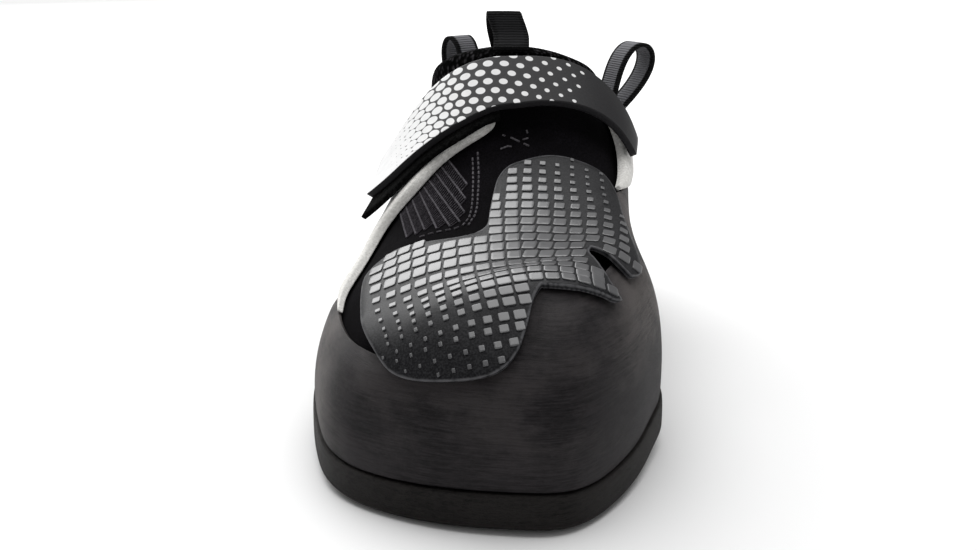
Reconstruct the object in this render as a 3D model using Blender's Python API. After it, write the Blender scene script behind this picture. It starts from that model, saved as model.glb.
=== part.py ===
"""A right climbing shoe: a soft, downturned slipper with a rubber toe and one wide closure strap.

Metres, +Z up. The toe points to -Y and the big toe's side is +X. The origin is on the floor, in the
middle of the forefoot's flat spot. The upper is a loft of ribs, each a curve that climbs from the edge
of the sole to the ridge of the instep or to the collar. Every other soft piece is laid on that loft.
"""

import math
from collections import namedtuple
from functools import lru_cache

import bmesh
import bpy
import numpy as np
from mathutils import Vector
from mathutils.geometry import delaunay_2d_cdt

# Driving sizes of the last and the foot opening
LENGTH = 0.240
BALL_WIDTH = 0.092
INSTEP_HEIGHT = 0.092
HEEL_HEIGHT = 0.079
REST_STATION = 0.040

# Sole: its plate, its arch and how far its rim lifts and stands out
SOLE_THICKNESS = 0.005
SOLE_EDGE = 0.0085
ARCH_HEIGHT = 0.0125
TOE_SPRING = 0.0012
HEEL_SPRING = 0.004
RIM_LIFT = 0.0045
SOLE_LIP = 0.0006

# Walls and layers
UPPER_WALL = 0.0020
RAND_THICKNESS = 0.0018
PATCH_THICKNESS = 0.0014
QUARTER_THICKNESS = 0.0034
CUFF_THICKNESS = 0.0016
STRAP_THICKNESS = 0.0022
PAD_THICKNESS = 0.0016
WEBBING_THICKNESS = 0.0015
INSOLE_THICKNESS = 0.0015
CLEARANCE = 0.0003
LAID = 0.00065
QUARTER_GAP = 0.008

# A rib's foot is on the sole's edge. rise and flare place its lower handle, reach and drop its upper one.
Rib = namedtuple("Rib", "name along across rise flare reach drop")
LATERAL_RIBS = [
    Rib("toe corner", 0.017, -0.098, 0.62, 0.06, 0.60, 0.00),
    Rib("small toes", 0.066, -0.315, 0.62, 0.07, 0.62, 0.00),
    Rib("toe roots", 0.142, -0.413, 0.62, 0.07, 0.62, 0.00),
    Rib("ball", 0.275, -0.480, 0.60, 0.07, 0.60, 0.00),
    Rib("behind ball", 0.410, -0.440, 0.58, 0.08, 0.58, 0.00),
    Rib("waist", 0.540, -0.375, 0.56, 0.11, 0.55, 0.00),
    Rib("throat", 0.660, -0.335, 0.50, 0.13, 0.50, 0.00),
    Rib("ankle", 0.780, -0.305, 0.40, 0.12, 0.06, 0.34),
    Rib("heel side", 0.890, -0.250, 0.36, 0.13, 0.02, 0.34),
    Rib("heel corner", 0.955, -0.130, 0.34, 0.14, 0.00, 0.34),
]
TOE_RIB = Rib("toe tip", 0.003, 0.120, 0.62, 0.06, 0.60, 0.00)
HEEL_RIB = Rib("heel back", 0.975, 0.030, 0.34, 0.15, 0.00, 0.34)
MEDIAL_RIBS = [
    Rib("toe corner", 0.015, 0.249, 0.75, 0.05, 0.65, 0.00),
    Rib("big toe", 0.090, 0.365, 0.78, 0.06, 0.75, 0.00),
    Rib("big toe root", 0.170, 0.432, 0.76, 0.06, 0.83, 0.00),
    Rib("ball", 0.258, 0.472, 0.78, 0.03, 0.86, 0.00),
    Rib("behind ball", 0.390, 0.395, 0.82, 0.16, 0.92, 0.00),
    Rib("waist", 0.520, 0.305, 0.74, 0.50, 0.87, 0.00),
    Rib("throat", 0.655, 0.280, 0.50, 0.42, 0.87, 0.00),
    Rib("ankle", 0.780, 0.310, 0.40, 0.18, 0.06, 0.34),
    Rib("heel side", 0.890, 0.295, 0.36, 0.13, 0.02, 0.34),
    Rib("heel corner", 0.955, 0.180, 0.34, 0.14, 0.00, 0.34),
]

# Where the ribs end: on the ridge from the toe to the throat, then on the collar's edge
Top = namedtuple("Top", "name along across height")
RIDGE_TOPS = [
    Top("toe cap", 0.071, 0.163, 0.473),
    Top("toe corner", 0.104, 0.163, 0.522),
    Top("knuckle", 0.150, 0.163, 0.544),
    Top("toe roots", 0.208, 0.158, 0.555),
    Top("ball", 0.292, 0.141, 0.577),
    Top("vamp", 0.383, 0.109, 0.626),
    Top("instep", 0.500, 0.054, 0.747),
    Top("throat", 0.658, 0.011, 1.000),
]
LATERAL_COLLAR = [
    Top("ankle", 0.700, -0.245, 1.076),
    Top("heel side", 0.825, -0.270, 0.950),
    Top("heel corner", 0.928, -0.140, 0.965),
]
MEDIAL_COLLAR = [
    Top("ankle", 0.700, 0.265, 1.070),
    Top("heel side", 0.825, 0.300, 0.950),
    Top("heel corner", 0.928, 0.190, 0.965),
]
HEEL_TOP = Top("heel back", 0.954, 0.025, 1.000)

THROAT = len(RIDGE_TOPS) - 1
HEEL = len(LATERAL_RIBS) + 1

# Side view of the sole's underside, as shares of the length and of the arch's height
FLAT_TOE_FROM, FLAT_TOE_TO = 0.060, 0.280
FLAT_HEEL_FROM, FLAT_HEEL_TO = 0.800, 0.920
ARCH_TOP = 0.560


def ease(share):
    """A smooth step from 0 to 1."""
    share = min(max(share, 0.0), 1.0)
    return share * share * (3 - 2 * share)


def spline(rows, position):
    """A smooth curve through rows[1] to rows[-2]; the first and the last row only steer its ends."""
    index = min(max(int(math.floor(position)), 0), len(rows) - 4)
    f = position - index
    a, b, c, d = rows[index], rows[index + 1], rows[index + 2], rows[index + 3]
    return 0.5 * (2 * b + (c - a) * f + (2 * a - 5 * b + 4 * c - d) * f**2 + (3 * b - a - 3 * c + d) * f**3)


def sole_bottom(station):
    """Height of the underside's middle at a station along the foot."""
    share = station / LENGTH
    if share < FLAT_TOE_FROM:
        return TOE_SPRING * (1 - share / FLAT_TOE_FROM) ** 2
    if share < FLAT_TOE_TO:
        return 0.0
    if share < FLAT_HEEL_FROM:
        if share < ARCH_TOP:
            return ARCH_HEIGHT * ease((share - FLAT_TOE_TO) / (ARCH_TOP - FLAT_TOE_TO))
        return ARCH_HEIGHT * ease((FLAT_HEEL_FROM - share) / (FLAT_HEEL_FROM - ARCH_TOP))
    if share < FLAT_HEEL_TO:
        return 0.0
    return HEEL_SPRING * ((share - FLAT_HEEL_TO) / (1 - FLAT_HEEL_TO)) ** 2


def rim_lift(station):
    """How far the sole's edge lies above its middle: most beside the ball, least at the toe and heel."""
    share = station / LENGTH
    return RIM_LIFT * ease(share / 0.30) * ease((0.95 - share) / 0.30)


def sole_top_edge(station):
    """Height of the plate's upper face at its edge."""
    return sole_bottom(station) + rim_lift(station) + SOLE_EDGE


def rib_rows(side_ribs, other_ribs):
    """Numbers of the ribs of one side from the toe to the heel, with one rib more at each end."""
    ribs = [other_ribs[0], TOE_RIB, *side_ribs, HEEL_RIB, other_ribs[-1]]
    return np.array([rib[1:] for rib in ribs])


def top_point(top, height):
    """A top's place, with its height as a share of the instep's or the heel's."""
    return np.array([top.across * BALL_WIDTH, top.along * LENGTH - REST_STATION, top.height * height])


RIB_ROWS = {-1: rib_rows(LATERAL_RIBS, MEDIAL_RIBS), 1: rib_rows(MEDIAL_RIBS, LATERAL_RIBS)}
ridge = [top_point(top, INSTEP_HEIGHT) for top in RIDGE_TOPS]
RIDGE_ROWS = np.array([ridge[1], *ridge, 2 * ridge[-1] - ridge[-2]])
lateral_collar = [top_point(top, HEEL_HEIGHT) for top in LATERAL_COLLAR]
medial_collar = [top_point(top, HEEL_HEIGHT) for top in MEDIAL_COLLAR]
heel_top = top_point(HEEL_TOP, HEEL_HEIGHT)
COLLAR_ROWS = {
    -1: np.array([medial_collar[0], ridge[-1], *lateral_collar, heel_top, medial_collar[-1]]),
    1: np.array([lateral_collar[0], ridge[-1], *medial_collar, heel_top, lateral_collar[-1]]),
}


def top_at(side, u):
    """The end of the rib at u, on the ridge before the throat and on the collar behind it."""
    if u <= THROAT:
        return spline(RIDGE_ROWS, u)
    return spline(COLLAR_ROWS[side], u - THROAT)


@lru_cache(maxsize=None)
def outline(side, u):
    """The sole edge's station and place across at u, and the level direction out of the shoe there."""
    step = 0.02
    before = spline(RIB_ROWS[side], max(u - step, 0.0))
    after = spline(RIB_ROWS[side], min(u + step, HEEL))
    run = np.array([(after[1] - before[1]) * BALL_WIDTH, (after[0] - before[0]) * LENGTH])
    if u < step or u > HEEL - step:
        run[1] = 0.0
    outward = np.array([run[1], -run[0]]) * side
    along, across = spline(RIB_ROWS[side], u)[:2]
    return along * LENGTH, across * BALL_WIDTH, outward / np.linalg.norm(outward)


def sole_edge(w, distance, height):
    """A point beside the sole's outline: a distance outside it, and a height above the rim's foot."""
    side = -1 if w < 0 else 1
    station, across, outward = outline(side, round(abs(w), 6))
    lift = sole_bottom(station) + rim_lift(station)
    x, y = np.array([across, station - REST_STATION]) + outward * distance
    return np.array([x, y, lift + height])


@lru_cache(maxsize=None)
def rib_controls(side, u):
    """The four Bezier points of the rib at u: 0 at the toe's tip, HEEL at the back of the heel."""
    rise, flare, reach, drop = spline(RIB_ROWS[side], u)[2:]
    station, across, outward = outline(side, u)
    foot = np.array([across, station - REST_STATION, sole_top_edge(station) + LAID])
    top = top_at(side, u)
    height = top[2] - foot[2]
    low = foot + np.array([outward[0] * flare * height, outward[1] * flare * height, rise * height])
    slope_at = min(max(u, 0.1), THROAT)
    ahead, behind = spline(RIDGE_ROWS, min(slope_at + 0.02, THROAT)), spline(RIDGE_ROWS, slope_at - 0.02)
    slope = (ahead[2] - behind[2]) / (ahead[1] - behind[1])
    on_ridge = 1 - ease((u - THROAT) / 1.0)
    lean = reach * (foot - top)
    high = top + np.array([lean[0], lean[1], slope * lean[1] * on_ridge - drop * height])
    return foot, low, high, top


def skin(w, t):
    """A point of the upper's outer face. w runs round the shoe from the toe's tip, minus on the lateral
    side, and t climbs a rib from the sole to the ridge or the collar."""
    if w > HEEL:
        w -= 2 * HEEL
    if w < -HEEL:
        w += 2 * HEEL
    side = -1 if w < 0 else 1
    foot, low, high, top = rib_controls(side, round(abs(w), 6))
    s = 1 - t
    return foot * s**3 + low * (3 * s * s * t) + high * (3 * s * t * t) + top * t**3


def chart_normal(w, t):
    """The normal from the ribs' own directions, which is clear everywhere but at the collar's front. On the
    sole's edge it is kept level, so that walls stand on the sole with a flat foot."""
    step = 0.01
    if t > 1 - step and abs(w) <= THROAT:
        u = max(abs(w), 0.25)
        along = skin(u, 1.0) - skin(u - 2 * step, 1.0)
        normal = np.cross(skin(u, 1 - step) - skin(-u, 1 - step), along)
    else:
        along = skin(w + step, t) - skin(w - step, t)
        up = skin(w, min(t + step, 1.0)) - skin(w, max(t - step, 0.0))
        normal = np.cross(along, up)
        normal[2] *= ease(t / 0.15) if normal[2] < 0 else 1.0
    return normal / np.linalg.norm(normal)


@lru_cache(maxsize=None)
def collar_front():
    """Points of the skin on the instep and round the front of the collar."""
    points = []
    for u in np.linspace(5.9, 8.6, 82):
        for t in np.linspace(0.25, 1.0, 61):
            points += [skin(-u, t), skin(u, t)]
    return np.array(points)


def collar_run(w):
    """The way along the collar's edge."""
    if abs(abs(w) - THROAT) < 0.02:
        return np.array([1.0, 0.0, 0.0])
    run = skin(w + 0.02, 1.0) - skin(w - 0.02, 1.0)
    return run / np.linalg.norm(run)


@lru_cache(maxsize=None)
def collar_normal(w):
    """The outward direction at the front of the collar, from where the skin lies a few millimetres below
    its edge: there the ribs run almost along the edge."""
    away = collar_front() - skin(w, 1.0)
    length = np.linalg.norm(away, axis=1)
    run = collar_run(w)
    near = np.abs(length - 0.0045) < 0.0015
    astray = np.abs(away[near] @ run) / length[near]
    down = away[near][np.argsort(astray)[:6]].mean(axis=0)
    normal = np.cross(down, run)
    normal = normal / np.linalg.norm(normal)
    return normal if normal.dot(skin(w, 1.0) - np.array([0.0, 0.150, 0.040])) > 0 else -normal


def skin_normal(w, t):
    """The outward direction at a point of the skin."""
    round_w = w - math.copysign(2 * HEEL, w) if abs(w) > HEEL else w
    behind = abs(round_w) - THROAT
    if t < 0.70 or behind < -1e-6 or behind >= 1.0:
        return chart_normal(w, t)
    share = ease((t - 0.70) / 0.25) * ease((1.0 - behind) / 0.30)
    normal = chart_normal(w, min(t, 0.90)) * (1 - share) + collar_normal(round(round_w, 6)) * share
    return normal / np.linalg.norm(normal)


def offset_skin(w, t, distance):
    """A point that lies a distance outside the upper's outer face, or inside it where minus."""
    return skin(w, t) + skin_normal(w, t) * distance


Edge = namedtuple("Edge", "w t")
RAND_TOP = [
    Edge(-7.40, 0.30),
    Edge(-6.50, 0.27),
    Edge(-5.50, 0.27),
    Edge(-4.50, 0.30),
    Edge(-3.63, 0.325),
    Edge(-2.87, 0.36),
    Edge(-2.23, 0.39),
    Edge(-1.80, 0.41),
    Edge(-1.62, 0.53),
    Edge(-1.45, 0.76),
    Edge(-1.30, 1.00),
    Edge(1.30, 1.00),
    Edge(1.55, 0.93),
    Edge(1.90, 0.84),
    Edge(2.30, 0.755),
    Edge(2.65, 0.71),
    Edge(3.20, 0.69),
    Edge(3.70, 0.655),
    Edge(4.23, 0.61),
    Edge(4.83, 0.585),
    Edge(5.30, 0.54),
    Edge(5.60, 0.47),
    Edge(5.90, 0.38),
    Edge(6.30, 0.32),
    Edge(6.90, 0.30),
    Edge(7.40, 0.30),
]
HEEL_RAND_TOP = [
    Edge(7.42, 0.30),
    Edge(8.20, 0.34),
    Edge(9.20, 0.46),
    Edge(10.20, 0.60),
    Edge(11.00, 0.64),
    Edge(11.80, 0.60),
    Edge(12.80, 0.46),
    Edge(13.80, 0.34),
    Edge(14.58, 0.30),
]
LATERAL_QUARTER_TOP = [
    Edge(-3.55, 0.335),
    Edge(-4.43, 0.350),
    Edge(-4.90, 0.335),
    Edge(-5.15, 0.345),
    Edge(-5.37, 0.40),
    Edge(-5.53, 0.52),
    Edge(-5.83, 0.65),
    Edge(-6.03, 0.84),
    Edge(-6.12, 0.91),
    Edge(-6.28, 0.91),
    Edge(-6.50, 0.83),
    Edge(-6.80, 0.71),
    Edge(-7.00, 0.645),
    Edge(-7.20, 0.650),
    Edge(-7.40, 0.70),
    Edge(-7.60, 0.77),
    Edge(-7.80, 0.82),
    Edge(-8.20, 0.85),
    Edge(-10.97, 0.86),
]
MEDIAL_QUARTER_TOP = [
    Edge(5.66, 0.475),
    Edge(6.00, 0.43),
    Edge(6.40, 0.45),
    Edge(6.80, 0.58),
    Edge(7.00, 0.63),
    Edge(7.20, 0.650),
    Edge(7.40, 0.69),
    Edge(7.60, 0.76),
    Edge(7.80, 0.82),
    Edge(8.20, 0.85),
    Edge(10.97, 0.86),
]


def edge_at(rows, w):
    """The t of a hand-drawn edge at w: a smooth curve through its rows that never overshoots them."""
    rows = sorted(rows)
    ws, ts = [row.w for row in rows], [row.t for row in rows]
    i = min(max(int(np.searchsorted(ws, w)) - 1, 0), len(ws) - 2)
    slopes = [(ts[k + 1] - ts[k]) / (ws[k + 1] - ws[k]) for k in range(len(ws) - 1)]

    def tangent(k):
        if k == 0 or k == len(ws) - 1 or slopes[k - 1] * slopes[k] <= 0:
            return 0.0
        return 2 * slopes[k - 1] * slopes[k] / (slopes[k - 1] + slopes[k])

    width = ws[i + 1] - ws[i]
    f = min(max((w - ws[i]) / width, 0.0), 1.0)
    value = (1 + 2 * f) * (1 - f) ** 2 * ts[i] + f * f * (3 - 2 * f) * ts[i + 1]
    return value + f * (1 - f) ** 2 * width * tangent(i) - f * f * (1 - f) * width * tangent(i + 1)


# A sheet is a patch of the skin: its nodes as (w, t) pairs, and its faces as tuples of node numbers
Sheet = namedtuple("Sheet", "nodes faces")


def band(columns, rows, high):
    """A sheet of ribs up to high(w): with nodes at fixed t, then at shares of the rest of the way."""
    fixed, shares = rows
    nodes = []
    for w in columns:
        nodes += [(w, t) for t in fixed(w)] if callable(fixed) else [(w, t) for t in fixed]
        start = nodes[-1][1]
        nodes += [(w, start + (high(w) - start) * share) for share in shares]
    n = len(nodes) // len(columns)
    faces = []
    for i in range(len(columns) - 1):
        for j in range(n - 1):
            faces.append((i * n + j, (i + 1) * n + j, (i + 1) * n + j + 1, i * n + j + 1))
    return Sheet(nodes, faces)


def steps(start, stop, size):
    """Even steps from start to stop, about as long as size."""
    count = max(int(round(abs(stop - start) / size)), 1)
    return [start + (stop - start) * i / count for i in range(count + 1)]


def node_key(w, t):
    """Nodes that are one point of the skin share a key: on the ridge, and down the back of the heel."""
    if t > 0.9999 and abs(w) <= THROAT + 1e-6:
        return ("ridge", round(abs(w), 4))
    if abs(abs(w) - HEEL) < 1e-6:
        return ("heel", round(t, 4))
    return (round(w, 4), round(t, 4))


def add_solid(name, points, faces, colour, roughness):
    """Links a closed solid with its own material. Its faces are listed counter-clockwise from outside."""
    mesh = bmesh.new()
    verts = [mesh.verts.new(point) for point in points]
    for face in faces:
        mesh.faces.new([verts[i] for i in face])
    bmesh.ops.triangulate(mesh, faces=mesh.faces[:])
    data = bpy.data.meshes.new(name)
    mesh.to_mesh(data)
    mesh.free()
    material = bpy.data.materials.new(name)
    material.use_nodes = True
    shader = material.node_tree.nodes["Principled BSDF"]
    shader.inputs["Base Color"].default_value = (*colour, 1.0)
    shader.inputs["Roughness"].default_value = roughness
    data.materials.append(material)
    solid = bpy.data.objects.new(name, data)
    bpy.context.scene.collection.objects.link(solid)
    return solid


def layer(name, sheet, inner, outer, colour, roughness):
    """A solid between two distances from the skin, over a sheet. inner and outer give them at a node."""
    numbers, nodes = {}, []
    for w, t in sheet.nodes:
        key = node_key(w, t)
        if key not in numbers:
            numbers[key] = len(nodes)
            nodes.append((w, t))
    faces = []
    for face in sheet.faces:
        ring = [numbers[node_key(*sheet.nodes[i])] for i in face]
        ring = [i for k, i in enumerate(ring) if i != ring[k - 1]]
        if len(ring) > 2:
            faces.append(tuple(ring))
    count = len(nodes)
    points = [offset_skin(w, t, outer(w, t)) for w, t in nodes]
    points += [offset_skin(w, t, inner(w, t)) for w, t in nodes]
    used = {}
    for face in faces:
        for k in range(len(face)):
            pair = (face[k - 1], face[k])
            used[tuple(sorted(pair))] = used.get(tuple(sorted(pair)), []) + [pair]
    solid_faces = list(faces) + [tuple(i + count for i in reversed(face)) for face in faces]
    for pairs in used.values():
        if len(pairs) == 1:
            a, b = pairs[0]
            solid_faces.append((b, a, a + count, b + count))
    return add_solid(name, points, solid_faces, colour, roughness)


def constant(value):
    """The same distance everywhere."""
    return lambda w, t: value


for old in list(bpy.data.objects):
    bpy.data.objects.remove(old, do_unlink=True)

BLACK = (0.012, 0.012, 0.013)
CHARCOAL = (0.030, 0.031, 0.033)
WHITE = (0.75, 0.74, 0.70)

half_round = steps(0.0, 2.60, 0.26) + steps(2.60, THROAT, 0.34)[1:] + steps(THROAT, HEEL, 0.35)[1:]
around = [-w for w in half_round[:0:-1]] + half_round
upper_sheet = band(around, ([0.0], steps(0, 1, 0.09)[1:]), lambda w: 1.0)
layer("upper", upper_sheet, constant(-UPPER_WALL), constant(0.0), BLACK, 0.8)


def spine(u):
    """A point of the sole's middle line in plan: the sides of the toe and the heel share its ends."""
    u = min(max(u, 1.6), 9.6)
    left, right = sole_edge(-u, 0, 0), sole_edge(u, 0, 0)
    return (left[:2] + right[:2]) / 2


def sole_point(w, share, inset, height):
    """A point of the sole: at a share of the way from the middle line to the rim, or at an inset from
    the upper's edge where share is 1. Its height is over the underside there."""
    edge = sole_edge(w, inset, 0)[:2]
    middle = spine(abs(w) if abs(w) <= HEEL else 2 * HEEL - abs(w))
    x, y = middle + (edge - middle) * share
    station = y + REST_STATION if share < 1 else outline(-1 if w < 0 else 1, round(abs(w), 6))[0]
    rise = rim_lift(station) * ease((share - 0.45) / 0.55)
    return np.array([x, y, sole_bottom(max(station, 0.0)) + rise + height])


Ring = namedtuple("Ring", "name share inset height")
RIM = RAND_THICKNESS + LAID + SOLE_LIP
SOLE_RINGS = [
    Ring("under middle", 0.00, 0.0, 0.0),
    Ring("under flat", 0.40, 0.0, 0.0),
    Ring("under ball", 0.72, 0.0, 0.0),
    Ring("under rim", 1.00, RIM - 0.0012, 0.0),
    Ring("ground corner", 1.00, RIM, 0.0012),
    Ring("side", 1.00, RIM, SOLE_EDGE - 0.0005),
    Ring("upper corner", 1.00, RIM - 0.0004, SOLE_EDGE),
    Ring("under wall", 1.00, -0.0025, SOLE_EDGE),
    Ring("dish side", 0.84, 0.0, SOLE_THICKNESS),
    Ring("dish flat", 0.40, 0.0, SOLE_THICKNESS),
    Ring("dish middle", 0.00, 0.0, SOLE_THICKNESS),
]
INSOLE_RINGS = [
    Ring("under middle", 0.00, 0.0, SOLE_THICKNESS + CLEARANCE),
    Ring("under flat", 0.40, 0.0, SOLE_THICKNESS + CLEARANCE),
    Ring("under side", 0.84, 0.0, SOLE_THICKNESS + CLEARANCE),
    Ring("under edge", 1.00, -0.0028, SOLE_EDGE + CLEARANCE),
    Ring("edge", 1.00, -0.0028, SOLE_EDGE + CLEARANCE + INSOLE_THICKNESS),
    Ring("side", 0.84, 0.0, SOLE_THICKNESS + CLEARANCE + INSOLE_THICKNESS),
    Ring("flat", 0.40, 0.0, SOLE_THICKNESS + CLEARANCE + INSOLE_THICKNESS),
    Ring("middle", 0.00, 0.0, SOLE_THICKNESS + CLEARANCE + INSOLE_THICKNESS),
]


def plate(name, rings, size, colour, roughness):
    """A solid of rings round the sole's outline, closed along its middle line."""
    columns = steps(-HEEL, HEEL, size)[:-1]
    numbers, points, grid = {}, [], []
    for w in columns:
        line = []
        for row, ring in enumerate(rings):
            point = sole_point(w, ring.share, ring.inset, ring.height)
            key = tuple(np.round(point, 6)) if ring.share == 0 else (w, row)
            if key not in numbers:
                numbers[key] = len(points)
                points.append(point)
            line.append(numbers[key])
        grid.append(line)
    faces = []
    for i in range(len(grid)):
        here, after = grid[i - 1], grid[i]
        for j in range(len(rings) - 1):
            ring = [here[j], after[j], after[j + 1], here[j + 1]]
            ring = [n for k, n in enumerate(ring) if n != ring[k - 1]]
            if len(ring) > 2:
                faces.append(tuple(ring))
    return add_solid(name, points, faces, colour, roughness)


plate("outsole", SOLE_RINGS, 0.3438, CHARCOAL, 0.8)
plate("insole", INSOLE_RINGS, 0.3438, BLACK, 0.9)


def rand_top(w):
    return edge_at(RAND_TOP, w)


def rand_outer(w, t):
    """The rand's outer face: full over its middle, thin at its upper edge, ground a little at its foot."""
    edge = ease((rand_top(w) - t) / 0.07) if rand_top(w) < 0.999 else 1.0
    foot = 0.85 + 0.15 * ease(t / 0.05)
    return LAID + RAND_THICKNESS * (0.5 + 0.5 * edge) * foot


rand_columns = steps(-7.40, -3.63, 0.38) + steps(-3.63, -1.95, 0.28)[1:] + steps(-1.95, -1.30, 0.11)[1:]
rand_columns += steps(-1.30, 1.30, 0.26)[1:] + steps(1.30, 2.65, 0.225)[1:] + steps(2.65, 5.30, 0.33)[1:]
rand_columns += steps(5.30, 6.00, 0.175)[1:] + steps(6.00, 7.40, 0.35)[1:]
rand_rows = [0.0, 0.03, 0.13, 0.25], [0.30, 0.60, 0.90, 1.0]
rand_sheet = band(rand_columns, rand_rows, rand_top)
layer("toe_rand", rand_sheet, constant(LAID), rand_outer, CHARCOAL, 0.65)


def heel_rand_top(w):
    return edge_at(HEEL_RAND_TOP, w)


def heel_rand_outer(w, t):
    edge = ease((heel_rand_top(w) - t) / 0.07)
    return LAID + RAND_THICKNESS * (0.5 + 0.5 * edge)


heel_sheet = band(steps(7.42, 14.58, 0.30), ([0.0, 0.03, 0.13, 0.25], [0.50, 0.90, 1.0]), heel_rand_top)
layer("heel_rand", heel_sheet, constant(LAID), heel_rand_outer, CHARCOAL, 0.65)


def quarter_low(w):
    """The quarters start just above the rubber."""
    u = abs(w)
    if u <= 7.40:
        return rand_top(w) + QUARTER_GAP
    if u >= 7.42:
        return heel_rand_top(u) + QUARTER_GAP
    return max(rand_top(math.copysign(7.40, w)), heel_rand_top(7.42)) + QUARTER_GAP


def quarter(name, rows, columns):
    """A thick panel from the rubber up to its cut edge, rounded over at that edge."""
    def high(w):
        return max(edge_at(rows, w), quarter_low(w) + 0.004)

    def outer(w, t):
        span = high(w) - quarter_low(w)
        edge = min(1.0, (high(w) - t) / 0.035)
        round_over = math.sqrt(max(1 - (1 - edge) ** 2, 0.0))
        foot = 0.70 + 0.30 * ease((t - quarter_low(w)) / 0.05)
        wedge = ease(span / 0.05)
        return LAID + QUARTER_THICKNESS * (0.45 + 0.55 * round_over * foot * wedge)

    def inner(w, t):
        """A little more room where the skin is hollow, beside the instep."""
        return LAID + CLEARANCE * (ease((abs(w) - 5.0) / 0.5) * ease((6.9 - abs(w)) / 0.4) * ease((t - 0.3) / 0.1))

    sheet = band(columns, (lambda w: [quarter_low(w)], [0.12, 0.38, 0.64, 0.86, 0.95, 1.0]), high)
    layer(name, sheet, inner, outer, WHITE, 0.9)


lateral_columns = steps(-3.60, -5.20, 0.27) + steps(-5.20, -6.20, 0.125)[1:] + steps(-6.20, -8.20, 0.20)[1:] + steps(-8.20, -10.97, 0.40)[1:]
quarter("quarter_lateral", LATERAL_QUARTER_TOP, lateral_columns[::-1])
quarter("quarter_medial", MEDIAL_QUARTER_TOP, steps(5.68, 8.20, 0.18) + steps(8.20, 10.97, 0.40)[1:])


# Toe patch: its outline as (u, a), where u runs along the ridge and a from -1, the sole on the lateral
# side, over 0, the ridge, to 1, the sole on the medial side
Mark = namedtuple("Mark", "u a")
PATCH_OUTLINE = [
    Mark(5.70, 0.08), Mark(5.72, 0.18), Mark(5.70, 0.27), Mark(5.57, 0.38), Mark(5.17, 0.43),
    Mark(4.65, 0.41), Mark(4.20, 0.405), Mark(3.75, 0.435), Mark(3.52, 0.46), Mark(3.30, 0.46),
    Mark(3.07, 0.42), Mark(3.13, 0.34), Mark(3.26, 0.26), Mark(3.30, 0.20), Mark(3.10, 0.19),
    Mark(2.78, 0.24), Mark(2.50, 0.31), Mark(2.33, 0.39), Mark(2.29, 0.45), Mark(2.14, 0.43),
    Mark(2.04, 0.38), Mark(1.83, 0.30), Mark(1.57, 0.21), Mark(1.27, 0.11), Mark(1.03, 0.03),
    Mark(0.84, -0.03), Mark(0.66, -0.07), Mark(0.42, -0.13), Mark(0.28, -0.28), Mark(0.37, -0.42),
    Mark(0.60, -0.52), Mark(0.97, -0.60), Mark(1.33, -0.64), Mark(1.62, -0.635), Mark(1.95, -0.59),
    Mark(2.50, -0.560), Mark(3.25, -0.545), Mark(3.90, -0.525), Mark(4.16, -0.44), Mark(4.05, -0.34),
    Mark(3.90, -0.24), Mark(3.87, -0.17), Mark(4.05, -0.138), Mark(4.53, -0.132), Mark(5.00, -0.122),
    Mark(5.33, -0.100), Mark(5.58, -0.04),
]


def closed_spline(marks, size):
    """Points along a smooth closed curve through the marks, about as far apart as size."""
    rows = np.array([tuple(mark) for mark in marks])
    count = len(rows)
    points = []
    for i in range(count):
        four = [rows[(i + k - 1) % count] for k in range(4)]
        length = math.hypot((four[2][0] - four[1][0]), (four[2][1] - four[1][1]) * CHART_SCALE)
        parts = max(int(round(length / size)), 1)
        for k in range(parts):
            points.append(spline(four, k / parts))
    return points


CHART_SCALE = 3.2


def chart_sheet(outline_points, size):
    """Fills a closed outline with even triangles."""
    border = [Vector((u, a * CHART_SCALE)) for u, a in outline_points]
    points = list(border)
    low = [min(p[k] for p in border) for k in (0, 1)]
    high = [max(p[k] for p in border) for k in (0, 1)]
    rows = int((high[1] - low[1]) / size) + 2
    first = math.ceil(low[1] / size)
    for j in range(rows):
        y = (first + j) * size
        for i in range(int((high[0] - low[0]) / size) + 2):
            x = low[0] + (i + 0.5 * (j % 2)) * size
            if inside(border, x, y) and min(math.hypot(p.x - x, p.y - y) for p in border) > 0.62 * size:
                points.append(Vector((x, y)))
    count = len(border)
    edges = [(i, (i + 1) % count) for i in range(count)]
    found = delaunay_2d_cdt(points, edges, [], 1, 1e-5)
    nodes = []
    for point in found[0]:
        a = point.y / CHART_SCALE
        nodes.append((math.copysign(point.x, a if abs(a) > 1e-9 else 1.0), 1 - abs(a)))
    return Sheet(nodes, [tuple(reversed(face)) for face in found[2]])


def inside(border, x, y):
    """Whether a point lies inside a closed outline."""
    crossings = 0
    for i, p in enumerate(border):
        q = border[i - 1]
        if (p.y > y) != (q.y > y) and x < p.x + (y - p.y) * (q.x - p.x) / (q.y - p.y):
            crossings += 1
    return crossings % 2 == 1


def rand_reach():
    """Points of the rand's face near its upper edge, to tell how far a place lies from it."""
    points = []
    for i in range(0, 221):
        w = -4.2 + 10.2 * i / 220
        points.append(skin(w, rand_top(w)))
    return np.array(points)


RAND_EDGE = rand_reach()


def over_rand(w, t):
    """1 where a layer lies over the rand, falling to 0 a few millimetres beyond the rand's edge."""
    if t <= rand_top(w):
        return 1.0
    gap = np.linalg.norm(RAND_EDGE - skin(w, t), axis=1).min()
    return 1 - ease((gap - 0.0020) / 0.0130)


def patch_inner(w, t):
    return CLEARANCE + (RAND_THICKNESS + LAID) * over_rand(w, t)


def patch_outer(w, t):
    return patch_inner(w, t) + PATCH_THICKNESS


patch_border = closed_spline(PATCH_OUTLINE, 0.19)
layer("toe_patch", chart_sheet(patch_border, 0.27), patch_inner, patch_outer, CHARCOAL, 0.4)


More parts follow.
